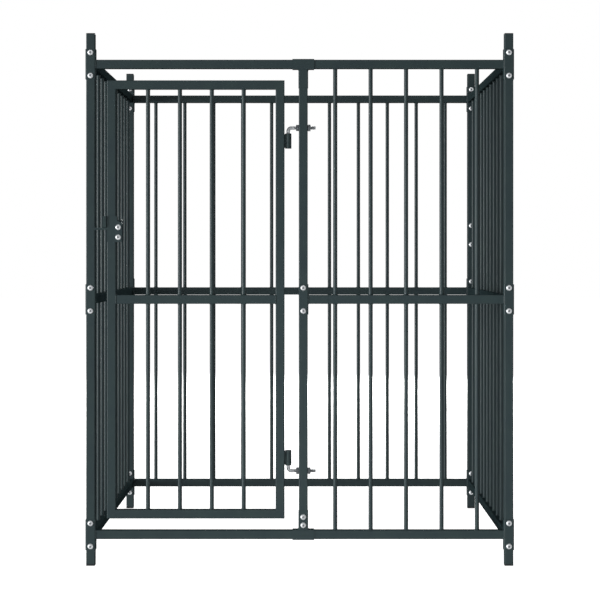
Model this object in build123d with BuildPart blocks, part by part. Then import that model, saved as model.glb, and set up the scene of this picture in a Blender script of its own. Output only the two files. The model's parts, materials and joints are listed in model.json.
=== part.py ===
from build123d import *
from math import cos, radians
import os

# Kennel cage: a square run of powder-coated steel with a hinged door in its front, open above and
# below. Square tube posts and rails slip into sleeve connectors, and round bars fill the panels.
# Millimetres. The origin is on the ground at the centre of the plan: +Z is up, +X is to the right
# for someone who faces the door, and the door side is at -Y.

# Overall sizes, over the tubes of the corner posts
cage_width = 1203.0
cage_depth = 1203.0
cage_height = 1500.0

# Square tube of the posts, the rails and the door frame
tube = 25.0
tube_wall = 1.5
tube_corner = 2.5

# Round bars
bar_diameter = 12.0
bar_wall = 1.0
bar_pitch = 100.0
bar_hole_gap = 0.1  # radial, around a bar where it enters a rail
bar_end = 6.0  # how far a bar runs on past the wall that it enters
bar_clear = 5.0  # least distance from a bar to the end of a stub

# Rails
end_rail_inset = 87.5  # from the ground, or from the top, to the centre of the nearest rail
centre_post_x = 10.0

# Slip-on connectors: a sleeve on the post, with a stub inside each rail
slip_gap = 0.15
sleeve_wall = 1.85
sleeve_length = 85.0
stub_gap = 0.2
stub_wall = 2.0
stub_length = 40.0
stub_root = 0.5  # how far a stub's weld bites into its sleeve
screw_spacing = 65.0

# Tee connectors at the ends of the centre post
collar_length = 61.0
socket_wall = 1.1
socket_gap = 0.1
socket_length = 52.0
tee_fillet = 3.5
tee_screw_first = 12.5  # from the collar to the nearer screw
tee_screw_spacing = 23.0

# Button-head screws and the rivet nuts that take them
screw_diameter = 8.0
screw_length = 14.0
head_diameter = 16.0
head_height = 4.4
head_rim = 0.9
head_flat = 7.0  # across the flat top of the head
socket_across = 5.0
socket_depth = 2.6
screw_hole_gap = 0.4  # radial, in a sleeve
rivet_diameter = 11.0
rivet_length = 13.0
rivet_bulge = 13.4
rivet_bulge_length = 4.0
rivet_gap = 0.1  # radial, in the tube's wall
thread_gap = 0.05  # radial, between a screw and its nut
spare_screw_z = 943.0  # centre of the pair on the back right post

# Plastic plugs in the ends of the posts
foot_thickness = 6.0
cap_thickness = 3.0
plug_length = 18.0
plug_wall = 2.0
plug_gap = 0.1
plug_edge = 1.5

# Door, placed by the gaps around it
door_gap_latch = 33.5
door_gap_hinge = 40.5
door_gap_end = 33.0  # above and below
door_bar_pitch = 90.0  # wanted: the bars share the width evenly

# Hinges: barrels on the door, J-shaped bolts through the centre post
pin_diameter = 10.0
pin_gap = 0.08  # radial, in the barrel
barrel_wall = 3.9
barrel_length = 42.5
barrel_end = 4.0  # closed end
barrel_edge = 2.0
pad_thickness = 1.6
pad_depth = 10.0
hinge_inset = 133.5  # from the door's end to the bolt's straight leg
leg_to_barrel = 15.5
pin_end_gap = 0.3
bend_radius = 9.0
bolt_tail = 14.5  # thread beyond the outer nut
bolt_hole_gap = 0.3
nut_across = 17.0
nut_thickness = 8.0

# Latch on the door's free stile
latch_above_mid = 199.0  # from the middle rail to the latch bolt
plate_thickness = 2.0
plate_above = 36.0
plate_below = 37.0
plate_overhang = 18.0  # past the stile, towards the bars
plate_step_width = 14.5
plate_step_height = 20.0
plate_round = 4.0
stop_height = 6.0
stop_reach = 40.0
stop_gap = 0.3
clamp_bolt_offset = 7.0  # from the stile's inner face
clamp_bolt_above = 4.0
clamp_bolt_spacing = 28.0
clamp_bolt_length = 40.0
spacer_diameter = 12.0
nose_diameter = 6.0
nose_clear = 1.5  # between the drawn-back bolt and the post
nose_hole_gap = 0.6
guide_diameter = 8.0
guide_above = 20.0  # guide rod over the bolt
guide_gap = 0.08
latch_travel = 15.0
tab_width = 9.6
tab_gap = 1.3
tab_depth = 16.0
tab_forward = 18.2
tab_round = 1.5
clip_thickness = 1.2
clip_diameter = 13.0
clip_stop_gap = 0.3
rod_end = 0.7  # guide rod past its clip
small_nut_across = 13.0
small_nut_thickness = 6.5

# Places that follow from the sizes above
post_x = (cage_width - tube) / 2
post_y = (cage_depth - tube) / 2
half_tube = tube / 2
mid_z = cage_height / 2
levels = {"bottom": end_rail_inset, "middle": mid_z, "top": cage_height - end_rail_inset}
corners = {
    "front_left": (-post_x, -post_y),
    "front_right": (post_x, -post_y),
    "back_left": (-post_x, post_y),
    "back_right": (post_x, post_y),
}
sleeve = tube + 2 * (slip_gap + sleeve_wall)
rail_end_x = post_x - sleeve / 2
rail_end_y = post_y - sleeve / 2
stub = tube - 2 * tube_wall - 2 * stub_gap
screw_reach = screw_spacing / 2
front = -1
back = 1
ahead = {front: (0, -1, 0), back: (0, 1, 0)}
upright = Plane((0, 0, 0), x_dir=(1, 0, 0), z_dir=(0, -1, 0))  # faces the front

os.makedirs("parts", exist_ok=True)


def tube_section(outer, wall, corner):
    """Hollow square section, in the sketch that is open."""
    inner = outer - 2 * wall
    RectangleRounded(outer, outer, corner)
    RectangleRounded(inner, inner, max(corner - wall, 0.5), mode=Mode.SUBTRACT)


def square_tube(start, direction, length, outer=tube, wall=tube_wall, corner=tube_corner):
    """Square tube from a point along a direction, in the part that is open."""
    side = (1, 0, 0) if direction[0] == 0 else (0, 1, 0)
    with BuildSketch(Plane(start, x_dir=side, z_dir=direction)) as section:
        tube_section(outer, wall, corner)
    extrude(section.sketch, amount=length)


def drill(start, direction, radius, depth):
    """Round hole from a point along a direction, in the part that is open."""
    with BuildSketch(Plane(start, z_dir=direction)) as mouth:
        Circle(radius)
    extrude(mouth.sketch, amount=depth, mode=Mode.SUBTRACT)


def bar_holes(spots, low, high):
    """Upright holes for bars between two heights, in the part that is open."""
    with BuildSketch(Plane.XY.offset(low)) as holes:
        with Locations(*spots):
            Circle(bar_diameter / 2 + bar_hole_gap)
    extrude(holes.sketch, amount=high - low, mode=Mode.SUBTRACT)


def bar_tubes(spots, low, high):
    """Upright bars between two heights, in the part that is open."""
    with BuildSketch(Plane.XY.offset(low)) as rings:
        with Locations(*spots):
            Circle(bar_diameter / 2)
            Circle(bar_diameter / 2 - bar_wall, mode=Mode.SUBTRACT)
    extrude(rings.sketch, amount=high - low)


def bar_stations(low, high):
    """Whole pitches from the cage's centre that lie between two limits."""
    reach = int(max(abs(low), abs(high)) // bar_pitch)
    return [k * bar_pitch for k in range(-reach, reach + 1) if low <= k * bar_pitch <= high]


def hex_prism(centre, direction, across, height, mode=Mode.ADD):
    """Six-sided prism from a point along a direction, in the part that is open."""
    with BuildSketch(Plane(centre, z_dir=direction)) as hexagon:
        RegularPolygon(radius=across / 2 / cos(radians(30)), side_count=6)
    extrude(hexagon.sketch, amount=height, mode=mode)


def button_screw(x, y, z, side, length=screw_length):
    """Button-head screw whose head bears on a face at y and looks to the given side."""
    out = ahead[side]
    shank = screw_diameter / 2
    with BuildSketch(Plane((x, y, z), x_dir=(side, 0, 0), z_dir=(0, 0, 1))) as profile:
        with BuildLine():
            bottom = Line((0, -length), (shank, -length))
            thread = Line(bottom @ 1, (shank, 0))
            under = Line(thread @ 1, (head_diameter / 2, 0))
            rim = Line(under @ 1, (head_diameter / 2, head_rim))
            dome = SagittaArc(rim @ 1, (head_flat / 2, head_height), 0.9)
            Polyline(dome @ 1, (0, head_height), (0, -length))
        make_face()
    revolve(profile.sketch, axis=Axis((x, y, z), out))
    top = y + side * head_height
    hex_prism((x, top, z), (0, -side, 0), socket_across, socket_depth, mode=Mode.SUBTRACT)


def rivet_nut(x, y, z, side):
    """Flush rivet nut in a tube wall whose outer face is at y, bulged behind the wall."""
    bore = screw_diameter / 2 + thread_gap
    barrel = rivet_diameter / 2 - rivet_gap
    bulge_low = -tube_wall - rivet_bulge_length
    with BuildSketch(Plane((x, y, z), x_dir=(side, 0, 0), z_dir=(0, 0, 1))) as profile:
        with BuildLine():
            Polyline(
                (bore, 0),
                (barrel, 0),
                (barrel, -tube_wall),
                (rivet_bulge / 2, -tube_wall - rivet_bulge_length / 2),
                (barrel, bulge_low),
                (barrel, -rivet_length),
                (bore, -rivet_length),
                close=True,
            )
        make_face()
    revolve(profile.sketch, axis=Axis((x, y, z), ahead[side]))


def write(piece, name):
    """Label a finished piece and write it to its own file."""
    piece.part.label = name
    export_step(piece.part, f"parts/{name}.step")


# Where the screws of the corner connectors sit: (x, y of the post's face, z, side they face).
# The screws face the front, but for the middle sleeve of the back left post.
sleeve_screws = {}
for corner_name, (x, y) in corners.items():
    for level_name, z in levels.items():
        side = back if (corner_name, level_name) == ("back_left", "middle") else front
        face_y = y + side * half_tube
        sleeve_screws[corner_name, level_name] = [
            (x, face_y, z - screw_reach, side),
            (x, face_y, z + screw_reach, side),
        ]
spare_screws = [
    (post_x, post_y - half_tube, spare_screw_z - screw_reach, front),
    (post_x, post_y - half_tube, spare_screw_z + screw_reach, front),
]
cover = slip_gap + sleeve_wall  # from a tube's face to the face of the sleeve on it

# Latch and door places
door_left = -post_x + half_tube + door_gap_latch
door_right = centre_post_x - half_tube - door_gap_hinge
door_low = levels["bottom"] + half_tube + door_gap_end
door_high = levels["top"] - half_tube - door_gap_end
latch_z = mid_z + latch_above_mid
guide_z = latch_z + guide_above
latch_stile_x = door_left + half_tube
hinge_stile_x = door_right - half_tube
door_front = -post_y - half_tube
nose_hole = nose_diameter / 2 + nose_hole_gap
bolt_levels = {"upper": door_high - hinge_inset, "lower": door_low + hinge_inset}

# Corner posts
for corner_name, (x, y) in corners.items():
    with BuildPart() as post:
        square_tube((x, y, foot_thickness), (0, 0, 1), cage_height - foot_thickness - cap_thickness)
        holes = [spot for level_name in levels for spot in sleeve_screws[corner_name, level_name]]
        if corner_name == "back_right":
            holes = holes + spare_screws
        for hole_x, face_y, hole_z, side in holes:
            drill((hole_x, face_y + side, hole_z), (0, -side, 0), rivet_diameter / 2, tube_wall + 2)
        if corner_name == "front_left":
            drill((x + half_tube + 1, y, latch_z), (-1, 0, 0), nose_hole, tube_wall + 2)
    write(post, f"post_{corner_name}")

# Plugs under and over the posts
with BuildPart() as foot_plugs:
    with BuildSketch(Plane.XY):
        with Locations(*corners.values()):
            RectangleRounded(tube, tube, tube_corner)
    extrude(amount=foot_thickness)
    fillet(foot_plugs.faces().group_by(Axis.Z)[0].edges(), plug_edge)
    with BuildSketch(Plane.XY.offset(foot_thickness)):
        with Locations(*corners.values()):
            tube_section(tube - 2 * tube_wall - 2 * plug_gap, plug_wall, tube_corner - tube_wall)
    extrude(amount=plug_length)
write(foot_plugs, "foot_plugs")

with BuildPart() as top_plugs:
    with BuildSketch(Plane.XY.offset(cage_height - cap_thickness)):
        with Locations(*corners.values()):
            RectangleRounded(tube, tube, tube_corner)
    extrude(amount=cap_thickness)
    fillet(top_plugs.faces().group_by(Axis.Z)[-1].edges(), plug_edge)
    with BuildSketch(Plane.XY.offset(cage_height - cap_thickness - plug_length)):
        with Locations(*corners.values()):
            tube_section(tube - 2 * tube_wall - 2 * plug_gap, plug_wall, tube_corner - tube_wall)
    extrude(amount=plug_length)
write(top_plugs, "top_plugs")


def sleeve_shell(x, y, z):
    """Square sleeve of a connector round an upright tube, in the part that is open."""
    with BuildSketch(Plane.XY.offset(z - sleeve_length / 2)) as ring:
        with Locations((x, y)):
            tube_section(sleeve, sleeve_wall, tube_corner + slip_gap + sleeve_wall / 2)
    extrude(ring.sketch, amount=sleeve_length)


def stub_tube(start, direction):
    """Stub that a rail slides over, in the part that is open."""
    square_tube(start, direction, stub_length + stub_root, stub, stub_wall, tube_corner - tube_wall)


# Connectors on the corner posts: a stub for each rail that meets the post. The front left post has
# no rail beside it at mid height, because the door is there.
for corner_name, (x, y) in corners.items():
    across = -1 if x > 0 else 1
    along = -1 if y > 0 else 1
    for level_name, z in levels.items():
        with BuildPart() as connector:
            sleeve_shell(x, y, z)
            stub_tube((x, y + along * (sleeve / 2 - stub_root), z), (0, along, 0))
            if (corner_name, level_name) != ("front_left", "middle"):
                stub_tube((x + across * (sleeve / 2 - stub_root), y, z), (across, 0, 0))
            for hole_x, face_y, hole_z, side in sleeve_screws[corner_name, level_name]:
                start = (hole_x, face_y + side * (cover + 1), hole_z)
                drill(start, (0, -side, 0), screw_diameter / 2 + screw_hole_gap, cover + 1)
        write(connector, f"connector_{corner_name}_{level_name}")

# Bars: on every panel they stand at whole pitches from the cage's centre
side_limit = rail_end_y - stub_length - bar_diameter / 2 - bar_clear
wide_limit = rail_end_x - stub_length - bar_diameter / 2 - bar_clear
bay_limit = centre_post_x + sleeve / 2 + stub_length + bar_diameter / 2 + bar_clear
panel_bars = {
    "front": [(x, -post_y) for x in bar_stations(bay_limit, wide_limit)],
    "back": [(x, post_y) for x in bar_stations(-wide_limit, wide_limit)],
    "left": [(-post_x, y) for y in bar_stations(-side_limit, side_limit)],
    "right": [(post_x, y) for y in bar_stations(-side_limit, side_limit)],
}
bars_low = levels["bottom"] + half_tube - tube_wall - bar_end
bars_high = levels["top"] - half_tube + tube_wall + bar_end
for panel_name, spots in panel_bars.items():
    with BuildPart() as bars:
        bar_tubes(spots, bars_low, bars_high)
    write(bars, f"bars_{panel_name}")

# Rails: start point in plan, direction and length of each panel
panel_rails = {
    "front": ((-rail_end_x, -post_y), (1, 0, 0), 2 * rail_end_x),
    "back": ((-rail_end_x, post_y), (1, 0, 0), 2 * rail_end_x),
    "left": ((-post_x, -rail_end_y), (0, 1, 0), 2 * rail_end_y),
    "right": ((post_x, -rail_end_y), (0, 1, 0), 2 * rail_end_y),
}
hole_bands = {
    "bottom": (levels["bottom"] + half_tube - tube_wall - 1, levels["bottom"] + half_tube + 1),
    "middle": (mid_z - half_tube - 1, mid_z + half_tube + 1),
    "top": (levels["top"] - half_tube - 1, levels["top"] - half_tube + tube_wall + 1),
}
bracket_right = centre_post_x + sleeve / 2
for panel_name, ((x, y), direction, length) in panel_rails.items():
    for level_name, z in levels.items():
        with BuildPart() as rail:
            if (panel_name, level_name) == ("front", "middle"):
                square_tube((bracket_right, y, z), direction, rail_end_x - bracket_right)
            else:
                square_tube((x, y, z), direction, length)
            bar_holes(panel_bars[panel_name], *hole_bands[level_name])
        write(rail, f"rail_{panel_name}_{level_name}")

# Centre post between the two tees, drilled for the hinge bolts and for its screws
collar_reach = sleeve / 2
post_low = levels["bottom"] + collar_reach
post_high = levels["top"] - collar_reach
tee_places = {"bottom": (post_low, 1, front), "top": (post_high, -1, back)}
tee_screws = []
for face_z, up, side in tee_places.values():
    for step in (tee_screw_first, tee_screw_first + tee_screw_spacing):
        spot = (centre_post_x, -post_y + side * half_tube, face_z + up * step, side)
        tee_screws.append(spot)
bracket_screws = [
    (centre_post_x, -post_y - half_tube, mid_z - screw_reach, front),
    (centre_post_x, -post_y - half_tube, mid_z + screw_reach, front),
]
with BuildPart() as centre_post:
    square_tube((centre_post_x, -post_y, post_low), (0, 0, 1), post_high - post_low)
    for hole_x, face_y, hole_z, side in tee_screws + bracket_screws:
        drill((hole_x, face_y + side, hole_z), (0, -side, 0), rivet_diameter / 2, tube_wall + 2)
    for z in bolt_levels.values():
        start = (centre_post_x - half_tube - 1, -post_y, z)
        drill(start, (1, 0, 0), pin_diameter / 2 + bolt_hole_gap, tube + 2)
write(centre_post, "centre_post")

# Tees: a collar round the rail with a socket for the centre post
socket = tube + 2 * (socket_gap + socket_wall)
for level_name, (face_z, up, side) in tee_places.items():
    with BuildPart() as tee:
        with BuildSketch(Plane((centre_post_x, -post_y, levels[level_name]), z_dir=(1, 0, 0))):
            RectangleRounded(sleeve, sleeve, tube_corner)
        extrude(amount=collar_length / 2, both=True)
        with BuildSketch(Plane((centre_post_x, -post_y, face_z), z_dir=(0, 0, up))):
            RectangleRounded(socket, socket, tube_corner)
        extrude(amount=socket_length)
        throat = Plane((centre_post_x, -post_y, face_z), x_dir=(1, 0, 0), z_dir=(0, -1, 0))
        with BuildSketch(throat):
            Rectangle(socket + 2 * tee_fillet, 2 * tee_fillet)
            with GridLocations(socket + 2 * tee_fillet, 0, 2, 1):
                with Locations((0, up * tee_fillet)):
                    Circle(tee_fillet, mode=Mode.SUBTRACT)
        extrude(amount=socket / 2 - tube_corner, both=True)
        with BuildSketch(Plane((centre_post_x, -post_y, levels[level_name]), z_dir=(1, 0, 0))):
            RectangleRounded(tube + 2 * slip_gap, tube + 2 * slip_gap, tube_corner)
        extrude(amount=collar_length / 2 + 1, both=True, mode=Mode.SUBTRACT)
        with BuildSketch(Plane((centre_post_x, -post_y, face_z), z_dir=(0, 0, up))):
            RectangleRounded(tube + 2 * socket_gap, tube + 2 * socket_gap, tube_corner)
        extrude(amount=socket_length + 1, mode=Mode.SUBTRACT)
        for hole_x, face_y, hole_z, hole_side in tee_screws:
            if hole_side == side:
                start = (hole_x, face_y + side * (cover + 1), hole_z)
                drill(start, (0, -side, 0), screw_diameter / 2 + screw_hole_gap, cover + 1)
    write(tee, f"tee_{level_name}")

# Saddle on the centre post at mid height, open towards the door, with a stub for the middle rail
with BuildPart() as saddle:
    sleeve_shell(centre_post_x, -post_y, mid_z)
    with BuildSketch(Plane.XY.offset(mid_z - sleeve_length)):
        with Locations((centre_post_x - half_tube - sleeve / 2, -post_y)):
            Rectangle(sleeve, 2 * sleeve)
    extrude(amount=2 * sleeve_length, mode=Mode.SUBTRACT)
    stub_tube((centre_post_x + sleeve / 2 - stub_root, -post_y, mid_z), (1, 0, 0))
    for hole_x, face_y, hole_z, side in bracket_screws:
        start = (hole_x, face_y + side * (cover + 1), hole_z)
        drill(start, (0, -side, 0), screw_diameter / 2 + screw_hole_gap, cover + 1)
write(saddle, "centre_saddle")

# Screws and rivet nuts
all_sleeve_screws = [spot for pair in sleeve_screws.values() for spot in pair]
tee_cover = socket_gap + socket_wall
with BuildPart() as connector_screws:
    for x, face_y, z, side in all_sleeve_screws + bracket_screws:
        button_screw(x, face_y + side * cover, z, side)
write(connector_screws, "connector_screws")

with BuildPart() as tee_screw_set:
    for x, face_y, z, side in tee_screws:
        button_screw(x, face_y + side * tee_cover, z, side)
write(tee_screw_set, "tee_screws")

with BuildPart() as spare_screw_set:
    for x, face_y, z, side in spare_screws:
        button_screw(x, face_y, z, side)
write(spare_screw_set, "spare_screws")

with BuildPart() as rivet_nuts:
    for x, face_y, z, side in all_sleeve_screws + bracket_screws + tee_screws + spare_screws:
        rivet_nut(x, face_y, z, side)
write(rivet_nuts, "rivet_nuts")

# Door frame, mitred at its four corners. A cut keeps the side that its direction points to.
mid_height = door_high - door_low
mid_width = door_right - door_left


def mitre(x, z, keep_x, keep_z):
    """Cut the open part's end at 45 degrees through a corner of the door."""
    split(bisect_by=Plane((x, -post_y, z), z_dir=(keep_x, 0, keep_z)), keep=Keep.TOP)


with BuildPart() as latch_stile:
    square_tube((latch_stile_x, -post_y, door_low), (0, 0, 1), mid_height)
    mitre(door_left, door_high, -1, -1)
    mitre(door_left, door_low, -1, 1)
    start = (door_left - 1, -post_y, guide_z)
    drill(start, (1, 0, 0), guide_diameter / 2 + guide_gap, tube + 2)
write(latch_stile, "door_latch_stile")

with BuildPart() as hinge_stile:
    square_tube((hinge_stile_x, -post_y, door_low), (0, 0, 1), mid_height)
    mitre(door_right, door_high, 1, -1)
    mitre(door_right, door_low, 1, 1)
write(hinge_stile, "door_hinge_stile")

door_inner_left = door_left + tube
door_inner_right = door_right - tube
door_bay = door_inner_right - door_inner_left
door_gaps = round(door_bay / door_bar_pitch)
door_spots = [(door_inner_left + k * door_bay / door_gaps, -post_y) for k in range(1, door_gaps)]
door_bars_low = door_low + tube - tube_wall - bar_end
door_bars_high = door_high - tube + tube_wall + bar_end

with BuildPart() as door_top_rail:
    square_tube((door_left, -post_y, door_high - half_tube), (1, 0, 0), mid_width)
    mitre(door_left, door_high, 1, 1)
    mitre(door_right, door_high, -1, 1)
    bar_holes(door_spots, door_high - tube - 1, door_high - tube + tube_wall + 1)
write(door_top_rail, "door_top_rail")

with BuildPart() as door_bottom_rail:
    square_tube((door_left, -post_y, door_low + half_tube), (1, 0, 0), mid_width)
    mitre(door_left, door_low, 1, -1)
    mitre(door_right, door_low, -1, -1)
    bar_holes(door_spots, door_low + tube - tube_wall - 1, door_low + tube + 1)
write(door_bottom_rail, "door_bottom_rail")

with BuildPart() as door_middle_rail:
    square_tube((door_inner_left, -post_y, mid_z), (1, 0, 0), door_bay)
    bar_holes(door_spots, *hole_bands["middle"])
write(door_middle_rail, "door_middle_rail")

with BuildPart() as door_bars:
    bar_tubes(door_spots, door_bars_low, door_bars_high)
write(door_bars, "door_bars")

# Hinges. The upper bolt's pin points down and the lower bolt's pin points up, so the door can't be
# lifted off. The closed end of each barrel faces away from its bolt.
pin_radius = pin_diameter / 2
barrel_radius = pin_radius + pin_gap + barrel_wall
hinge_x = door_right + pad_thickness + barrel_radius
bolt_end_x = centre_post_x + half_tube + nut_thickness + bolt_tail
for hinge_name, leg_z in bolt_levels.items():
    toward = -1 if hinge_name == "upper" else 1  # from the leg to the barrel
    mouth_z = leg_z + toward * leg_to_barrel
    with BuildPart() as barrel:
        with BuildSketch(Plane((hinge_x, -post_y, mouth_z), z_dir=(0, 0, toward))):
            Circle(barrel_radius)
        extrude(amount=barrel_length)
        fillet(barrel.faces().sort_by(Axis.Z)[-1 if toward < 0 else 0].edges(), barrel_edge)
        pad_low = min(mouth_z, mouth_z + toward * barrel_length) + barrel_edge
        with BuildSketch(Plane.XY.offset(pad_low)):
            with Locations(((door_right + hinge_x) / 2, -post_y)):
                Rectangle(hinge_x - door_right, pad_depth)
        extrude(amount=barrel_length - 2 * barrel_edge)
        bore_depth = barrel_length - barrel_end
        drill((hinge_x, -post_y, mouth_z), (0, 0, toward), pin_radius + pin_gap, bore_depth)
    write(barrel, f"hinge_barrel_{hinge_name}")

    tip_z = mouth_z + toward * (bore_depth - pin_end_gap)
    with BuildPart() as hinge_bolt:
        with BuildLine() as bolt_line:
            FilletPolyline(
                (hinge_x, -post_y, tip_z),
                (hinge_x, -post_y, leg_z),
                (bolt_end_x, -post_y, leg_z),
                radius=bend_radius,
            )
        with BuildSketch(Plane((hinge_x, -post_y, tip_z), z_dir=(0, 0, -toward))):
            Circle(pin_radius)
        sweep(path=bolt_line.wires()[0])
    write(hinge_bolt, f"hinge_bolt_{hinge_name}")

with BuildPart() as hinge_nuts:
    for leg_z in bolt_levels.values():
        for face_x, out in ((centre_post_x - half_tube, -1), (centre_post_x + half_tube, 1)):
            hex_prism((face_x, -post_y, leg_z), (out, 0, 0), nut_across, nut_thickness)
            start = (face_x - out, -post_y, leg_z)
            drill(start, (out, 0, 0), pin_radius + thread_gap, nut_thickness + 2)
write(hinge_nuts, "hinge_nuts")

# Latch: two plates clamp the free stile between them. A thumb tab to the left of the stile carries
# the bolt, which slides into the corner post, and a guide rod that runs through the stile.
clamp_x = door_inner_left + clamp_bolt_offset
clamp_levels = (latch_z + clamp_bolt_above, latch_z + clamp_bolt_above - clamp_bolt_spacing)
plate_right = door_inner_left + plate_overhang
plate_low = latch_z - plate_below
plate_high = latch_z + plate_above
step_x = plate_right - plate_step_width
step_z = plate_high - plate_step_height


def latch_plate_outline():
    """Outline of a latch plate, narrower at its top, in the sketch that is open."""
    with BuildLine() as outline:
        Polyline(
            (door_left, plate_low),
            (plate_right, plate_low),
            (plate_right, step_z),
            (step_x, step_z + plate_step_width / 2),
            (step_x, plate_high),
            (door_left, plate_high),
            close=True,
        )
    make_face(outline.edges())


def clamp_holes(y, depth):
    """Holes for the clamp bolts in a latch plate, in the part that is open."""
    for z in clamp_levels:
        drill((clamp_x, y, z), (0, 1, 0), screw_diameter / 2 + screw_hole_gap, depth)


with BuildPart() as latch_front_plate:
    with BuildSketch(upright.offset(-door_front)):
        latch_plate_outline()
    extrude(amount=plate_thickness)
    round_edges = latch_front_plate.edges().filter_by(Axis.Y).sort_by(Axis.X)[-4:]
    fillet(round_edges, plate_round)
    with BuildSketch(upright.offset(-door_front + stop_gap)):
        with Locations((door_left - stop_reach / 2 + 1, latch_z)):
            Rectangle(stop_reach + 2, stop_height)
    extrude(amount=plate_thickness - stop_gap)
    clamp_holes(door_front - plate_thickness - 1, plate_thickness + 2)
write(latch_front_plate, "latch_front_plate")

door_back = -post_y + half_tube
with BuildPart() as latch_back_plate:
    with BuildSketch(upright.offset(-door_back - plate_thickness)):
        latch_plate_outline()
    extrude(amount=plate_thickness)
    round_edges = latch_back_plate.edges().filter_by(Axis.Y).sort_by(Axis.X)[-4:]
    fillet(round_edges, plate_round)
    clamp_holes(door_back - 1, plate_thickness + 2)
write(latch_back_plate, "latch_back_plate")

with BuildPart() as latch_spacers:
    for z in clamp_levels:
        with BuildSketch(Plane((clamp_x, door_front, z), z_dir=(0, 1, 0))):
            Circle(spacer_diameter / 2)
            Circle(screw_diameter / 2 + screw_hole_gap, mode=Mode.SUBTRACT)
        extrude(amount=tube)
write(latch_spacers, "latch_spacers")

with BuildPart() as latch_screws:
    for z in clamp_levels:
        button_screw(clamp_x, door_front - plate_thickness, z, front, clamp_bolt_length)
write(latch_screws, "latch_screws")

with BuildPart() as latch_nuts:
    for z in clamp_levels:
        nut_y = door_back + plate_thickness
        hex_prism((clamp_x, nut_y, z), (0, 1, 0), small_nut_across, small_nut_thickness)
        start = (clamp_x, nut_y - 1, z)
        drill(start, (0, 1, 0), screw_diameter / 2 + thread_gap, small_nut_thickness + 2)
write(latch_nuts, "latch_nuts")

# The thumb tab stands ahead of the stop finger, and above it, so that it can slide past
tab_right = door_left - tab_gap
tab_left = tab_right - tab_width
tab_low = latch_z - stop_height / 2
nose_tip = -post_x + half_tube + nose_clear
clip_x = door_inner_left + latch_travel + clip_stop_gap
with BuildPart() as latch_slide:
    with BuildSketch(Plane.YZ.offset(tab_left)):
        with BuildLine():
            Polyline(
                (-post_y + tab_depth / 2, tab_low),
                (-post_y + tab_depth / 2, plate_high),
                (-post_y - tab_forward, plate_high),
                (-post_y - tab_forward, latch_z + stop_height / 2 + 1),
                (-post_y - tab_depth / 2, latch_z + stop_height / 2 + 1),
                (-post_y - tab_depth / 2, tab_low),
                close=True,
            )
        make_face()
    extrude(amount=tab_width)
    fillet(latch_slide.edges().filter_by(Axis.X), tab_round)
    with BuildSketch(Plane.YZ.offset(nose_tip)):
        with Locations((-post_y, latch_z)):
            Circle(nose_diameter / 2)
    extrude(amount=tab_left - nose_tip)
    with BuildSketch(Plane.YZ.offset(tab_right)):
        with Locations((-post_y, guide_z)):
            Circle(guide_diameter / 2)
    extrude(amount=clip_x + clip_thickness + rod_end - tab_right)
write(latch_slide, "latch_slide")

with BuildPart() as latch_clip:
    with BuildSketch(Plane.YZ.offset(clip_x)):
        with Locations((-post_y, guide_z)):
            Circle(clip_diameter / 2)
            Circle(guide_diameter / 2, mode=Mode.SUBTRACT)
    extrude(amount=clip_thickness)
write(latch_clip, "latch_clip")
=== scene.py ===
import json
import math
import bpy
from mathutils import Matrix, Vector


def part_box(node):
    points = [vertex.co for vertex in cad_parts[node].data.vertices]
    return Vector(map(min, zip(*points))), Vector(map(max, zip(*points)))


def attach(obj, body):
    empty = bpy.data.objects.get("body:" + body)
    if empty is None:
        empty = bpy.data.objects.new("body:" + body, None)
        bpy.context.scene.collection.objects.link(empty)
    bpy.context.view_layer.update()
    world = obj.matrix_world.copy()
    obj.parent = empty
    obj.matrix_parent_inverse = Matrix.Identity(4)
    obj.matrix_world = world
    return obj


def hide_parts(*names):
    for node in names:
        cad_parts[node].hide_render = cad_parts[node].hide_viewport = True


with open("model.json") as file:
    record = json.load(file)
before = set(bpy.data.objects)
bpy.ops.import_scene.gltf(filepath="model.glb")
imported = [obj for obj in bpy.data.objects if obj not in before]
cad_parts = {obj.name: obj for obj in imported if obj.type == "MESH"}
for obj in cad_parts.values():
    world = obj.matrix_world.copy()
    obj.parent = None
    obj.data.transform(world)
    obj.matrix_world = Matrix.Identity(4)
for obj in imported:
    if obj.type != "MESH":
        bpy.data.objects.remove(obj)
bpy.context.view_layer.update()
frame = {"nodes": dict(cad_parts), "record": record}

mm = 0.001  # in metres; the sizes of the pieces and patterns below are in millimetres
micron = 1e-6  # in metres; corners that are closer than this are one corner
noiseSpan = (0.3, 0.7)  # where nearly all of a noise texture's values lie


def linear(hexColour):
    # the sRGB curve, from a hex colour to the linear one that a socket takes
    parts = [int(hexColour[i:i + 2], 16) / 255 for i in (0, 2, 4)]
    return [c / 12.92 if c <= 0.04045 else ((c + 0.055) / 1.055) ** 2.4 for c in parts] + [1.0]


def addNode(tree, kind, inputs=None, **settings):
    # one node with its settings; an input is a value, or the socket that feeds it
    made = tree.nodes.new(kind)
    for name, value in settings.items():
        setattr(made, name, value)
    for key, value in (inputs or {}).items():
        if isinstance(value, bpy.types.NodeSocket):
            tree.links.new(value, made.inputs[key])
        else:
            made.inputs[key].default_value = value
    return made


def newMaterial(name):
    made = bpy.data.materials.new(name)
    made.use_nodes = True
    made.node_tree.nodes.clear()
    return made, made.node_tree


def speckle(tree, place, size, low, high, detail=2.0):
    # noise with grains about size millimetres across, and the same stretched to run from low to high
    noise = addNode(tree, "ShaderNodeTexNoise", {
        "Vector": place,
        "Scale": 1 / (size * mm),
        "Detail": detail,
    })
    stretched = addNode(tree, "ShaderNodeMapRange", {
        "Value": noise.outputs[0],
        "From Min": noiseSpan[0],
        "From Max": noiseSpan[1],
        "To Min": low,
        "To Max": high,
    })
    return noise.outputs[0], stretched.outputs[0]


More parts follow.
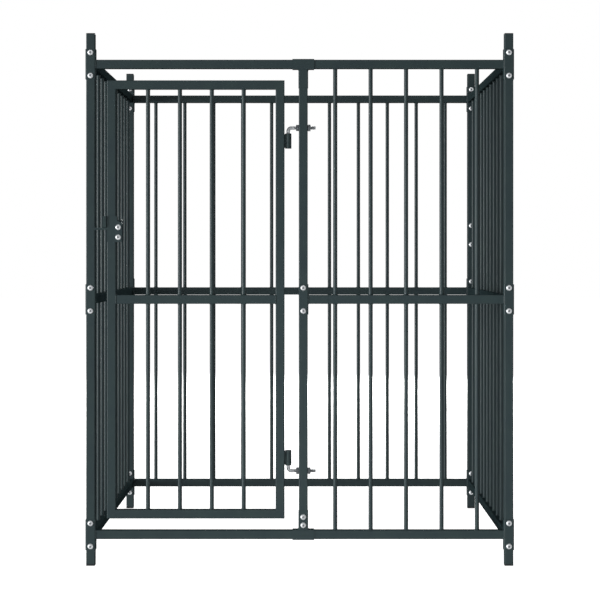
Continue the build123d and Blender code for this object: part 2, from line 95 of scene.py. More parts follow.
powderLook = {
    "colour": "293536",
    "deep": "253033",
    "cloud": 60,  # mm, slow drift of the shade over a tube
    "peel": 3.2,  # mm, orange peel, drawn coarser than its 1.5 so that it shows
    "peelDepth": 0.05,
    "peelStrength": 0.8,
    "grit": 0.9,  # mm, fine texture of the cured powder, drawn coarser than its 0.1 so that it shows
    "gritDepth": 0.025,
    "gritStrength": 0.5,
    "rough": (0.34, 0.42),
    "shine": 0.14,
    "mattSlant": (0.3, 0.65),  # from where to where the gloss fades, 0 face on and 1 edge on
}


def powderCoat():
    # polyester powder coat, anthracite: an even satin skin with a faint orange peel
    material, tree = newMaterial("anthracitePowderCoat")
    place = addNode(tree, "ShaderNodeTexCoord").outputs["Object"]
    drift = speckle(tree, place, powderLook["cloud"], 0, 1)[1]
    grit, gloss = speckle(tree, place, powderLook["grit"], *powderLook["rough"], detail=0.0)
    peel = addNode(tree, "ShaderNodeTexNoise", {
        "Vector": place,
        "Scale": 1 / (powderLook["peel"] * mm),
        "Detail": 1.0,
    })
    shade = addNode(tree, "ShaderNodeMix", {
        "Factor": drift,
        "A": linear(powderLook["deep"]),
        "B": linear(powderLook["colour"]),
    }, data_type="RGBA")
    gritBump = addNode(tree, "ShaderNodeBump", {
        "Strength": powderLook["gritStrength"],
        "Distance": powderLook["gritDepth"] * mm,
        "Height": grit,
    })
    peelBump = addNode(tree, "ShaderNodeBump", {
        "Strength": powderLook["peelStrength"],
        "Distance": powderLook["peelDepth"] * mm,
        "Height": peel.outputs[0],
        "Normal": gritBump.outputs[0],
    })
    skin = addNode(tree, "ShaderNodeBsdfPrincipled", {
        "Base Color": shade.outputs["Result"],
        "Roughness": gloss,
        "Specular IOR Level": powderLook["shine"],
        "Normal": peelBump.outputs[0],
    })
    # the fine texture shades itself at a slant, so the coat has no mirror-like edge
    matt = addNode(tree, "ShaderNodeBsdfDiffuse", {
        "Color": shade.outputs["Result"],
        "Normal": peelBump.outputs[0],
    })
    slant = addNode(tree, "ShaderNodeLayerWeight")
    share = addNode(tree, "ShaderNodeMapRange", {
        "Value": slant.outputs["Facing"],
        "From Min": powderLook["mattSlant"][0],
        "From Max": powderLook["mattSlant"][1],
    })
    shader = addNode(tree, "ShaderNodeMixShader", {
        0: share.outputs[0],
        1: skin.outputs[0],
        2: matt.outputs[0],
    })
    addNode(tree, "ShaderNodeOutputMaterial", {"Surface": shader.outputs[0]})
    return material


zincLook = {
    "bright": "c6c9cb",
    "dull": "a9acaf",
    "socket": "74777a",  # painted shade down in the hexagon socket
    "bloom": 2.5,  # mm, cloudy patches of the passivated plate
    "brush": 0.25,  # mm, fine grain of the steel under the plate
    "brushDepth": 0.01,
    "brushStrength": 0.3,
    "rough": (0.46, 0.56),
}

boltLook = {
    "bright": "9b9ea0",
    "dull": "6e7174",
    "bloom": 4.0,
    "brush": 0.3,
    "brushDepth": 0.01,
    "brushStrength": 0.3,
    "rough": (0.30, 0.42),
}

# the nuts' plate, drawn much darker than the screws' as painted shade for the dark reflections on them
nutLook = {
    "bright": "595d60",
    "dull": "3f4346",
    "bloom": 2.0,
    "brush": 0.3,
    "brushDepth": 0.01,
    "brushStrength": 0.3,
    "rough": (0.36, 0.46),
}


def zincPlate(name, look):
    # zinc-plated steel: cloudy and slightly soft in its shine, paler or darker as each look sets it
    material, tree = newMaterial(name)
    place = addNode(tree, "ShaderNodeTexCoord").outputs["Object"]
    patches = speckle(tree, place, look["bloom"], 0, 1, detail=3.0)[1]
    brush, gloss = speckle(tree, place, look["brush"], *look["rough"], detail=1.0)
    shade = addNode(tree, "ShaderNodeMix", {
        "Factor": patches,
        "A": linear(look["dull"]),
        "B": linear(look["bright"]),
    }, data_type="RGBA")
    # painted shade: faces marked as down in a screw's socket take this darker colour in place of the
    # shadow there
    if "socket" in look:
        paintedShadeMark = addNode(tree, "ShaderNodeAttribute", attribute_name="inSocket")
        shade = addNode(tree, "ShaderNodeMix", {
            "Factor": paintedShadeMark.outputs["Fac"],
            "A": shade.outputs["Result"],
            "B": linear(look["socket"]),
        }, data_type="RGBA")
    bump = addNode(tree, "ShaderNodeBump", {
        "Strength": look["brushStrength"],
        "Distance": look["brushDepth"] * mm,
        "Height": brush,
    })
    shader = addNode(tree, "ShaderNodeBsdfPrincipled", {
        "Base Color": shade.outputs["Result"],
        "Metallic": 1.0,
        "Roughness": gloss,
        "Normal": bump.outputs[0],
    })
    addNode(tree, "ShaderNodeOutputMaterial", {"Surface": shader.outputs[0]})
    return material


plugLook = {
    "colour": "1c2022",
    "pale": "24292b",
    "spark": 0.6,  # mm, spark-eroded mould texture, drawn coarser than its 0.2 so that it shows
    "sparkDepth": 0.02,
    "sparkStrength": 0.4,
    "rough": (0.55, 0.68),
    "shine": 0.12,
}


def plugPlastic():
    # moulded polyethylene, black: matt, with the fine eroded texture of its mould
    material, tree = newMaterial("mouldedPolyethylene")
    place = addNode(tree, "ShaderNodeTexCoord").outputs["Object"]
    spark, tint = speckle(tree, place, plugLook["spark"], 0, 1, detail=1.0)
    gloss = addNode(tree, "ShaderNodeMapRange", {
        "Value": tint,
        "To Min": plugLook["rough"][0],
        "To Max": plugLook["rough"][1],
    })
    shade = addNode(tree, "ShaderNodeMix", {
        "Factor": tint,
        "A": linear(plugLook["colour"]),
        "B": linear(plugLook["pale"]),
    }, data_type="RGBA")
    bump = addNode(tree, "ShaderNodeBump", {
        "Strength": plugLook["sparkStrength"],
        "Distance": plugLook["sparkDepth"] * mm,
        "Height": spark,
    })
    shader = addNode(tree, "ShaderNodeBsdfPrincipled", {
        "Base Color": shade.outputs["Result"],
        "Roughness": gloss.outputs[0],
        "Specular IOR Level": plugLook["shine"],
        "Normal": bump.outputs[0],
    })
    addNode(tree, "ShaderNodeOutputMaterial", {"Surface": shader.outputs[0]})
    return material


coat = powderCoat()
screwZinc = zincPlate("brightZincPlate", zincLook)
boltZinc = zincPlate("rolledZincPlate", boltLook)
nutZinc = zincPlate("zincPlatePaintedDark", nutLook)
plastic = plugPlastic()
finishes = {
    "powder_coat": coat,
    "zinc_screw": screwZinc,
    "zinc_steel": nutZinc,
    "black_plastic": plastic,
}
for entry in frame["record"]["subparts"]:
    node = frame["nodes"][entry["node"]]
    node.data.materials.clear()
    node.data.materials.append(finishes[entry["material_slot"]])
print("finishes set")


def solidPoints(nodeName):
    # the corner points of each separate solid in a CAD node, found by joining faces that meet
    mesh = frame["nodes"][nodeName].data
    owner = {}

    def root(key):
        while owner[key] != key:
            owner[key] = owner[owner[key]]
            key = owner[key]
        return key

    keys = [tuple(round(c / micron) for c in v.co) for v in mesh.vertices]
    for key in keys:
        owner.setdefault(key, key)
    for polygon in mesh.polygons:
        first = root(keys[polygon.vertices[0]])
        for index in polygon.vertices[1:]:
            owner[root(keys[index])] = first
    groups = {}
    for key in owner:
        groups.setdefault(root(key), []).append(Vector(key) * micron)
    return list(groups.values())


def pointBox(points):
    low = Vector([min(p[i] for p in points) for i in range(3)])
    high = Vector([max(p[i] for p in points) for i in range(3)])
    return low, high


def newTree(name, lengths, counts):
    # a tree whose sizes are named inputs; growPiece gives them their values
    tree = bpy.data.node_groups.new(name, "GeometryNodeTree")
    sockets = tree.interface
    sockets.new_socket(name="Result", in_out="OUTPUT", socket_type="NodeSocketGeometry")
    sockets.new_socket(name="Places", in_out="INPUT", socket_type="NodeSocketGeometry")
    for length in lengths:
        made = sockets.new_socket(name=length, in_out="INPUT", socket_type="NodeSocketFloat")
        made.subtype = "DISTANCE"
    for count in counts:
        sockets.new_socket(name=count, in_out="INPUT", socket_type="NodeSocketInt")
    sockets.new_socket(name="Finish", in_out="INPUT", socket_type="NodeSocketMaterial")
    return tree, addNode(tree, "NodeGroupInput").outputs


def closeTree(tree, given, shape):
    real = addNode(tree, "GeometryNodeRealizeInstances", {0: shape})
    inputs = {0: real.outputs[0], "Material": given["Finish"]}
    finished = addNode(tree, "GeometryNodeSetMaterial", inputs)
    addNode(tree, "NodeGroupOutput", {0: finished.outputs[0]})


def turned(tree, stations, around, dome=None):
    # revolves a line of (width, height) stations about Z, listed from the top down; dome is the
    # width and height of a corner, and its steps, for a curve in place of the second stretch
    places = []
    for width, height in stations:
        places.append(addNode(tree, "ShaderNodeCombineXYZ", {"X": width, "Y": height}).outputs[0])
    outline = addNode(tree, "GeometryNodeJoinGeometry")
    for index in range(len(places) - 1):
        ends = {"Start": places[index], "End": places[index + 1]}
        if index == 1 and dome:
            corner = addNode(tree, "ShaderNodeCombineXYZ", {"X": dome[0], "Y": dome[1]})
            ends["Middle"] = corner.outputs[0]
            ends["Resolution"] = dome[2]
            part = addNode(tree, "GeometryNodeCurveQuadraticBezier", ends)
        else:
            part = addNode(tree, "GeometryNodeCurvePrimitiveLine", ends)
        tree.links.new(part.outputs[0], outline.inputs[0])
    # swept round a circle of one metre from one metre inside it, so that widths, once halved, count
    # from the axis; the sweep turns heights over, and the scale of -1 turns them back
    inputs = {0: outline.outputs[0], "Translation": (-1, 0, 0), "Scale": (0.5, -1, 1)}
    profile = addNode(tree, "GeometryNodeTransform", inputs)
    circle = addNode(tree, "GeometryNodeCurvePrimitiveCircle", {"Resolution": around, "Radius": 1.0})
    skin = addNode(tree, "GeometryNodeCurveToMesh", {
        "Curve": circle.outputs[0],
        "Profile Curve": profile.outputs[0],
    })
    inputs = {0: skin.outputs[0], "Distance": micron}
    return addNode(tree, "GeometryNodeMergeByDistance", inputs).outputs[0]


def hexagon(tree, across, depth, place=(0, 0, 0)):
    # a prism by its width across flats, which is the root of three times its corners' radius
    inputs = {0: across, 1: 1 / math.sqrt(3)}
    corner = addNode(tree, "ShaderNodeMath", inputs, operation="MULTIPLY")
    inputs = {"Vertices": 6, "Radius": corner.outputs[0], "Depth": depth}
    prism = addNode(tree, "GeometryNodeMeshCylinder", inputs)
    inputs = {0: prism.outputs[0], "Translation": place}
    return addNode(tree, "GeometryNodeTransform", inputs).outputs[0]


def placed(tree, given, shape, turnShare=1.0):
    # one copy at each point, its Z along the point's facing, turned about that by a seeded amount
    facing = addNode(tree, "GeometryNodeInputNamedAttribute", {"Name": "facing"}, data_type="FLOAT_VECTOR")
    upright = addNode(tree, "FunctionNodeAlignRotationToVector", {"Vector": facing.outputs[0]}, axis="Z")
    turn = addNode(tree, "FunctionNodeRandomValue", {
        3: math.tau * turnShare,  # the most that a copy is turned
        "Seed": given["Seed"],
    }, data_type="FLOAT")
    inputs = {"Axis": (0, 0, 1), "Angle": turn.outputs[1]}
    spin = addNode(tree, "FunctionNodeAxisAngleToRotation", inputs)
    inputs = {0: upright.outputs[0], 1: spin.outputs[0]}
    both = addNode(tree, "FunctionNodeRotateRotation", inputs, rotation_space="LOCAL")
    return addNode(tree, "GeometryNodeInstanceOnPoints", {
        "Points": given["Places"],
        "Instance": shape,
        "Rotation": both.outputs[0],
    }).outputs[0]


def growPiece(name, tree, seedData, sizes, finish, smoothAngle=35):
    # runs a tree on its seed points or seed curve and keeps the result as a plain mesh,
    # whose edges stay sharp past the angle, in degrees
    seed = bpy.data.objects.new(name, seedData)
    bpy.context.scene.collection.objects.link(seed)
    grower = seed.modifiers.new(name, "NODES")
    grower.node_group = tree
    for socket in tree.interface.items_tree:
        if socket.name == "Finish":
            grower[socket.identifier] = finish
        elif socket.name in sizes:
            unit = mm if socket.socket_type == "NodeSocketFloat" else 1
            grower[socket.identifier] = sizes[socket.name] * unit
    evaluated = seed.evaluated_get(bpy.context.evaluated_depsgraph_get())
    mesh = bpy.data.meshes.new_from_object(evaluated)
    bpy.data.objects.remove(seed)
    mesh.shade_smooth()
    mesh.set_sharp_from_angle(angle=math.radians(smoothAngle))
    piece = bpy.data.objects.new(name, mesh)
    bpy.context.scene.collection.objects.link(piece)
    print("grown:", name, len(mesh.polygons), "faces")
    return piece


def seedPoints(places):
    # a mesh of bare points, each with the way its copy faces
    mesh = bpy.data.meshes.new("places")
    mesh.from_pydata([place for place, facing in places], [], [])
    facings = mesh.attributes.new("facing", "FLOAT_VECTOR", "POINT")
    for index, (place, facing) in enumerate(places):
        facings.data[index].vector = facing
    return mesh


screwSizes = {
    "Head Width": 16.0,
    "Head Height": 4.4,
    "Rim Height": 0.9,
    "Flat Width": 8.4,
    "Dome Corner Width": 12.8,
    "Dome Corner Height": 3.4,
    "Dome Steps": 7,
    "Socket Width": 6.4,
    "Socket Depth": 2.6,
    "Drill Point": 1.9,
    "Drill Sides": 24,
    "Shank Width": 7.8,
    "Shank Length": 14.0,
    "Sides": 40,
    "Seed": 11,
    "drillShare": 0.49,  # radius of the drill's cone over the socket's width, just inside its flats
    "markShare": 0.59,  # radius of the marked faces over the socket's width, just past its corners
    "markTop": 0.99,  # share of the head's height that the marked faces lie under
}


def screwTree():
    counts = ("Dome Steps", "Drill Sides", "Sides", "Seed")
    lengths = [name for name in screwSizes if name.istitle() and name not in counts]
    tree, given = newTree("buttonHeadScrew", lengths, counts)
    parts = {}
    for name, size, share in (
        ("shankEnd", "Shank Length", -1.0),
        ("cutDepth", "Socket Depth", 2.0),
        ("drillRadius", "Socket Width", screwSizes["drillShare"]),
        ("markRadius", "Socket Width", screwSizes["markShare"]),
        ("markTop", "Head Height", screwSizes["markTop"]),
    ):
        inputs = {0: given[size], 1: share}
        parts[name] = addNode(tree, "ShaderNodeMath", inputs, operation="MULTIPLY").outputs[0]
    body = turned(tree, [
        (0, given["Head Height"]),
        (given["Flat Width"], given["Head Height"]),
        (given["Head Width"], given["Rim Height"]),
        (given["Head Width"], 0),
        (given["Shank Width"], 0),
        (given["Shank Width"], parts["shankEnd"]),
        (0, parts["shankEnd"]),
    ], given["Sides"], (given["Dome Corner Width"], given["Dome Corner Height"], given["Dome Steps"]))

    top = addNode(tree, "ShaderNodeCombineXYZ", {"Z": given["Head Height"]})
    socket = hexagon(tree, given["Socket Width"], parts["cutDepth"], top.outputs[0])
    hollow = addNode(tree, "GeometryNodeMeshBoolean", {0: body, 1: socket}, operation="DIFFERENCE")

    # the cone that the drill left under the socket keeps it dark inside
    inputs = {0: given["Head Height"], 1: given["Socket Depth"]}
    floor = addNode(tree, "ShaderNodeMath", inputs, operation="SUBTRACT")
    inputs = {0: floor.outputs[0], 1: given["Drill Point"]}
    coneEnd = addNode(tree, "ShaderNodeMath", inputs, operation="SUBTRACT")
    cone = addNode(tree, "GeometryNodeMeshCone", {
        "Vertices": given["Drill Sides"],
        "Radius Top": parts["drillRadius"],
        "Radius Bottom": 0.0,
        "Depth": given["Drill Point"],
    })
    low = addNode(tree, "ShaderNodeCombineXYZ", {"Z": coneEnd.outputs[0]})
    inputs = {0: cone.outputs[0], "Translation": low.outputs[0]}
    drill = addNode(tree, "GeometryNodeTransform", inputs)
    inputs = {0: hollow.outputs[0], 1: drill.outputs[0]}
    drilled = addNode(tree, "GeometryNodeMeshBoolean", inputs, operation="DIFFERENCE")

    # marks the faces down in the socket, which the plate's material draws darker as painted shade
    position = addNode(tree, "GeometryNodeInputPosition")
    axes = addNode(tree, "ShaderNodeSeparateXYZ", {0: position.outputs[0]}).outputs
    flat = addNode(tree, "ShaderNodeCombineXYZ", {"X": axes["X"], "Y": axes["Y"]})
    away = addNode(tree, "ShaderNodeVectorMath", {0: flat.outputs[0]}, operation="LENGTH")
    inSocket = 1.0
    for value, test, limit in (
        (away.outputs["Value"], "LESS_THAN", parts["markRadius"]),
        (axes["Z"], "LESS_THAN", parts["markTop"]),
        (axes["Z"], "GREATER_THAN", 0.0),
    ):
        passed = addNode(tree, "ShaderNodeMath", {0: value, 1: limit}, operation=test)
        inputs = {0: inSocket, 1: passed.outputs[0]}
        inSocket = addNode(tree, "ShaderNodeMath", inputs, operation="MULTIPLY").outputs[0]
    marked = addNode(tree, "GeometryNodeStoreNamedAttribute", {
        0: drilled.outputs[0],
        "Name": "inSocket",
        "Value": inSocket,
    }, data_type="FLOAT", domain="FACE")
    closeTree(tree, given, placed(tree, given, marked.outputs[0]))
    return tree


def screwPlaces(nodeName):
    # the centre under each head and the way the head faces, read from the CAD solids
    headHeight = screwSizes["Head Height"] * mm
    places = []
    for points in solidPoints(nodeName):
        low, high = pointBox(points)
        middle = (low + high) / 2
        atLow = [p for p in points if p.y < low.y + headHeight]
        reach = [(p.x - middle.x) ** 2 + (p.z - middle.z) ** 2 for p in atLow]
        headAtLow = math.sqrt(max(reach)) > screwSizes["Shank Width"] * mm
        side = -1 if headAtLow else 1
        under = low.y + headHeight if headAtLow else high.y - headHeight
        places.append(((middle.x, under, middle.z), (0, side, 0)))
    return places


def buildScrews():
    tree = screwTree()
    frameNodes = ("connector_screws", "tee_screws", "spare_screws")
    places = [place for nodeName in frameNodes for place in screwPlaces(nodeName)]
    screws = growPiece("frame_screws", tree, seedPoints(places), screwSizes, screwZinc)
    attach(screws, "frame")
    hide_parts(*frameNodes)
    places = screwPlaces("latch_screws")
    low, high = pointBox(solidPoints("latch_screws")[0])
    latchSizes = dict(screwSizes)
    latchSizes["Shank Length"] = (high.y - low.y) / mm - screwSizes["Head Height"]
    screws = growPiece("clamp_screws", tree, seedPoints(places), latchSizes, screwZinc)
    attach(screws, "door")
    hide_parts("latch_screws")


buildScrews()


nutSizes = {
    "Chamfer Height": 1.1,
    "Sides": 36,
    "Seed": 5,
    "faceShare": 0.95,  # width of the flat ring on each end over the width across flats
    "cornerShare": 1.147,  # width of the chamfered barrel over the width across flats
}

nutKinds = {
    "hinge_hex_nuts": {"node": "hinge_nuts", "body": "frame", "axis": 0, "flats": 17.0, "bore": 10.1},
    "clamp_hex_nuts": {"node": "latch_nuts", "body": "door", "axis": 1, "flats": 13.0, "bore": 8.0},
}


def nutTree():
    lengths = ("Across Flats", "Nut Height", "Chamfer Height", "Face Width", "Corner Width", "Bore")
    tree, given = newTree("chamferedNut", lengths, ("Sides", "Seed"))
    inputs = {0: given["Nut Height"], 1: given["Chamfer Height"]}
    shoulder = addNode(tree, "ShaderNodeMath", inputs, operation="SUBTRACT").outputs[0]
    barrel = turned(tree, [
        (0, given["Nut Height"]),
        (given["Face Width"], given["Nut Height"]),
        (given["Corner Width"], shoulder),
        (given["Corner Width"], given["Chamfer Height"]),
        (given["Face Width"], 0),
        (0, 0),
    ], given["Sides"])
    # the prism and the bore go well past both ends
    inputs = {0: given["Nut Height"], 1: 4}
    tall = addNode(tree, "ShaderNodeMath", inputs, operation="MULTIPLY").outputs[0]
    prism = hexagon(tree, given["Across Flats"], tall)
    outside = addNode(tree, "GeometryNodeMeshBoolean", operation="INTERSECT")
    tree.links.new(barrel, outside.inputs[1])
    tree.links.new(prism, outside.inputs[1])
    inputs = {0: given["Bore"], 1: 0.5}
    radius = addNode(tree, "ShaderNodeMath", inputs, operation="MULTIPLY").outputs[0]
    inputs = {"Vertices": given["Sides"], "Radius": radius, "Depth": tall}
    bore = addNode(tree, "GeometryNodeMeshCylinder", inputs)
    inputs = {0: outside.outputs[0], 1: bore.outputs[0]}
    drilled = addNode(tree, "GeometryNodeMeshBoolean", inputs, operation="DIFFERENCE")
    closeTree(tree, given, placed(tree, given, drilled.outputs[0]))
    return tree


def buildNuts():
    tree = nutTree()
    for name, kind in nutKinds.items():
        nodeName, body, axis, across = kind["node"], kind["body"], kind["axis"], kind["flats"]
        places = []
        facing = Vector([1.0 if i == axis else 0.0 for i in range(3)])
        for points in solidPoints(nodeName):
            low, high = pointBox(points)
            place = (low + high) / 2
            height = (high - low)[axis]
            place[axis] = low[axis]
            places.append((place, facing))
        sizes = dict(nutSizes)
        sizes["Across Flats"] = across
        sizes["Bore"] = kind["bore"]
        sizes["Nut Height"] = height / mm
        sizes["Face Width"] = across * nutSizes["faceShare"]
        sizes["Corner Width"] = across * nutSizes["cornerShare"]
        nuts = growPiece(name, tree, seedPoints(places), sizes, nutZinc)
        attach(nuts, body)
        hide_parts(nodeName)


buildNuts()


boltSizes = {
    "Pitch": 1.5,
    "Thread Depth": 0.85,
    "Thread Length": 60.0,
    "Chamfer": 1.2,
    "Ring Gap": 0.2,
    "Sides": 24,
    "bend": 9.0,  # mm, radius of the bend's centre line
    "arcHandle": 0.5523,  # handle over radius, for a quarter circle as one Bezier segment
    "flank": (0.14, 0.86),  # where the groove starts and where it is deepest, 0 crest and 1 root
}


def boltTree():
    lengths = ("Bolt Width", "Pitch", "Thread Depth", "Thread Length", "Chamfer", "Ring Gap")
    tree, given = newTree("threadedRod", lengths, ("Sides",))
    inputs = {"Curve": given["Places"], "Length": given["Ring Gap"]}
    line = addNode(tree, "GeometryNodeResampleCurve", inputs, mode="LENGTH")
    along = addNode(tree, "GeometryNodeSplineParameter").outputs["Length"]
    whole = addNode(tree, "GeometryNodeSplineLength").outputs["Length"]
    left = addNode(tree, "ShaderNodeMath", {0: whole, 1: along}, operation="SUBTRACT").outputs[0]
    centre = addNode(tree, "GeometryNodeInputPosition").outputs[0]
    marked = addNode(tree, "GeometryNodeCaptureAttribute", domain="POINT")
    for label, kind, value in (
        ("along", "FLOAT", along),
        ("left", "FLOAT", left),
        ("centre", "VECTOR", centre),
    ):
        marked.capture_items.new(kind, label)
        tree.links.new(value, marked.inputs[label])
    tree.links.new(line.outputs[0], marked.inputs[0])

    inputs = {0: given["Bolt Width"], 1: 0.5}
    radius = addNode(tree, "ShaderNodeMath", inputs, operation="MULTIPLY").outputs[0]
    inputs = {"Resolution": given["Sides"], "Radius": radius}
    section = addNode(tree, "GeometryNodeCurvePrimitiveCircle", inputs)
    around = addNode(tree, "GeometryNodeCaptureAttribute", domain="POINT")
    around.capture_items.new("FLOAT", "around")
    tree.links.new(section.outputs[0], around.inputs[0])
    factor = addNode(tree, "GeometryNodeSplineParameter").outputs["Factor"]
    tree.links.new(factor, around.inputs["around"])
    rod = addNode(tree, "GeometryNodeCurveToMesh", {
        "Curve": marked.outputs[0],
        "Profile Curve": around.outputs[0],
        "Fill Caps": True,
    })

    # one groove per pitch, which winds round as it goes along: 0 on its crest and 1 at its root
    wave = marked.outputs["along"]
    for operation, value in (
        ("DIVIDE", given["Pitch"]),
        ("ADD", around.outputs["around"]),
        ("MULTIPLY", 2.0),
        ("PINGPONG", 1.0),
    ):
        wave = addNode(tree, "ShaderNodeMath", {0: wave, 1: value}, operation=operation).outputs[0]
    groove = addNode(tree, "ShaderNodeMapRange", {
        "Value": wave,
        "From Min": boltSizes["flank"][0],
        "From Max": boltSizes["flank"][1],
        "To Max": given["Thread Depth"],
    })
    inputs = {0: marked.outputs["left"], 1: given["Thread Length"]}
    inThread = addNode(tree, "ShaderNodeMath", inputs, operation="LESS_THAN")
    inputs = {0: groove.outputs[0], 1: inThread.outputs[0]}
    cut = addNode(tree, "ShaderNodeMath", inputs, operation="MULTIPLY").outputs[0]
    for end in ("along", "left"):
        inputs = {0: given["Chamfer"], 1: marked.outputs[end]}
        short = addNode(tree, "ShaderNodeMath", inputs, operation="SUBTRACT").outputs[0]
        cut = addNode(tree, "ShaderNodeMath", {0: cut, 1: short}, operation="MAXIMUM").outputs[0]
    share = addNode(tree, "ShaderNodeMath", {0: cut, 1: radius}, operation="DIVIDE").outputs[0]
    place = addNode(tree, "GeometryNodeInputPosition").outputs[0]
    inputs = {"Factor": share, 4: place, 5: marked.outputs["centre"]}
    drawnIn = addNode(tree, "ShaderNodeMix", inputs, data_type="VECTOR")
    inputs = {0: rod.outputs[0], "Position": drawnIn.outputs[1]}
    closeTree(tree, given, addNode(tree, "GeometryNodeSetPosition", inputs).outputs[0])
    return tree


def boltLine(nodeName, barrelName):
    # pin, quarter bend and straight leg, read from the CAD bolt's box
    low, high = [Vector(corner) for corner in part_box(nodeName)]
    barrelLow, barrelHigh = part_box(barrelName)
    radius = (high.y - low.y) / 2
    axisX = low.x + radius
    pinUp = (barrelLow[2] + barrelHigh[2]) / 2 > (low.z + high.z) / 2
    way = 1 if pinUp else -1
    legZ = low.z + radius if pinUp else high.z - radius
    tipZ = high.z if pinUp else low.z
    middleY = (low.y + high.y) / 2
    bend = boltSizes["bend"] * mm
    pull = bend * boltSizes["arcHandle"]
    corners = (
        Vector((axisX, middleY, tipZ)),
        Vector((axisX, middleY, legZ + way * bend)),
        Vector((axisX + bend, middleY, legZ)),
        Vector((high.x, middleY, legZ)),
    )
    curve = bpy.data.curves.new("boltLine", "CURVE")
    curve.dimensions = "3D"
    spline = curve.splines.new("BEZIER")
    spline.bezier_points.add(len(corners) - 1)
    for point, corner in zip(spline.bezier_points, corners):
        point.co = corner
        point.handle_left_type = point.handle_right_type = "FREE"
        point.handle_left = point.handle_right = corner
    spline.bezier_points[1].handle_right = corners[1] - Vector((0, 0, way * pull))
    spline.bezier_points[2].handle_left = corners[2] - Vector((pull, 0, 0))
    return curve, radius * 2 / mm


def buildBolts():
    tree = boltTree()
    for end in ("upper", "lower"):
        nodeName = "hinge_bolt_" + end
        curve, width = boltLine(nodeName, "hinge_barrel_" + end)
        sizes = dict(boltSizes)
        sizes["Bolt Width"] = width
        bolt = growPiece("threaded_hinge_bolt_" + end, tree, curve, sizes, boltZinc, smoothAngle=50)
        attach(bolt, "frame")
        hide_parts(nodeName)


buildBolts()


weldSizes = {
    "Bar Width": 12.0,
    "Bead Width": 3.4,
    "Ripple": 0.5,  # from the deepest pinch to the highest swelling
    "Ripple Gap": 2.6,
    "Sides": 16,
    "Bead Sides": 5,
    "Seed": 3,
}

railWeldSizes = {
    "Rail Width": 25.0,
    "Corner": 2.5,
    "Bead Width": 3.0,
    "Ripple": 0.5,
    "Ripple Gap": 2.6,
    "Ring Gap": 1.8,
    "Bead Sides": 5,
    "Seed": 4,
}


def lumpyBead(tree, given, path):
    # a weld bead along a closed curve, swollen and pinched as it was laid
    inputs = {0: given["Bead Width"], 1: 0.5}
    radius = addNode(tree, "ShaderNodeMath", inputs, operation="MULTIPLY")
    inputs = {"Resolution": given["Bead Sides"], "Radius": radius.outputs[0]}
    section = addNode(tree, "GeometryNodeCurvePrimitiveCircle", inputs)
    inputs = {"Curve": path, "Profile Curve": section.outputs[0]}
    tube = addNode(tree, "GeometryNodeCurveToMesh", inputs)
    inputs = {0: 1.0, 1: given["Ripple Gap"]}
    scale = addNode(tree, "ShaderNodeMath", inputs, operation="DIVIDE")
    lumps = addNode(tree, "ShaderNodeTexNoise", {"Scale": scale.outputs[0], "Detail": 1.0})
    swell = addNode(tree, "ShaderNodeMapRange", {
        "Value": lumps.outputs[0],
        "From Min": noiseSpan[0],
        "From Max": noiseSpan[1],
        "To Min": -0.5,
        "To Max": 0.5,
    })
    inputs = {0: swell.outputs[0], 1: given["Ripple"]}
    lift = addNode(tree, "ShaderNodeMath", inputs, operation="MULTIPLY")
    normal = addNode(tree, "GeometryNodeInputNormal")
    inputs = {0: normal.outputs[0], "Scale": lift.outputs[0]}
    push = addNode(tree, "ShaderNodeVectorMath", inputs, operation="SCALE")
    inputs = {0: tube.outputs[0], "Offset": push.outputs[0]}
    return addNode(tree, "GeometryNodeSetPosition", inputs).outputs[0]


def weldTree():
    # a lumpy bead round a bar
    lengths = ("Bar Width", "Bead Width", "Ripple", "Ripple Gap")
    tree, given = newTree("barWeld", lengths, ("Sides", "Bead Sides", "Seed"))
    ring = addNode(tree, "ShaderNodeMath", {0: given["Bar Width"], 1: 0.5}, operation="MULTIPLY")
    inputs = {"Resolution": given["Sides"], "Radius": ring.outputs[0]}
    circle = addNode(tree, "GeometryNodeCurvePrimitiveCircle", inputs)
    lumpy = lumpyBead(tree, given, circle.outputs[0])
    closeTree(tree, given, placed(tree, given, lumpy))
    return tree


def squareWeldTree():
    # a lumpy bead round the end of a square tube
    lengths = ("Rail Width", "Corner", "Bead Width", "Ripple", "Ripple Gap", "Ring Gap")
    tree, given = newTree("railWeld", lengths, ("Bead Sides", "Seed"))
    inputs = {"Width": given["Rail Width"], "Height": given["Rail Width"]}
    square = addNode(tree, "GeometryNodeCurvePrimitiveQuadrilateral", inputs)
    inputs = {"Curve": square.outputs[0], "Radius": given["Corner"], "Count": 3}
    rounded = addNode(tree, "GeometryNodeFilletCurve", inputs, mode="POLY")
    inputs = {"Curve": rounded.outputs[0], "Length": given["Ring Gap"]}
    even = addNode(tree, "GeometryNodeResampleCurve", inputs, mode="LENGTH")
    lumpy = lumpyBead(tree, given, even.outputs[0])
    closeTree(tree, given, placed(tree, given, lumpy, turnShare=0))
    return tree


def railEnds(railNode):
    # the middle of each end of a rail and the way it points
    low, high = [Vector(corner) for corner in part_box(railNode)]
    middle = (low + high) / 2
    longWay = 0 if high.x - low.x > high.y - low.y else 1
    places = []
    for end, way in ((low, -1.0), (high, 1.0)):
        place = middle.copy()
        place[longWay] = end[longWay]
        facing = Vector((0, 0, 0))
        facing[longWay] = way
        places.append((place, facing))
    return places


def weldPlaces(barNode, railNodes):
    # where each bar meets the upper and lower face of a rail that it reaches
    places = []
    for points in solidPoints(barNode):
        barLow, barHigh = pointBox(points)
        middle = (barLow + barHigh) / 2
        for railNode in railNodes:
            low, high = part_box(railNode)
            if not (low[0] < middle.x < high[0] and low[1] < middle.y < high[1]):
                continue
            for face, way in ((low[2], -1.0), (high[2], 1.0)):
                if barLow.z < face < barHigh.z:
                    places.append(((middle.x, middle.y, face), (0.0, 0.0, way)))
    return places


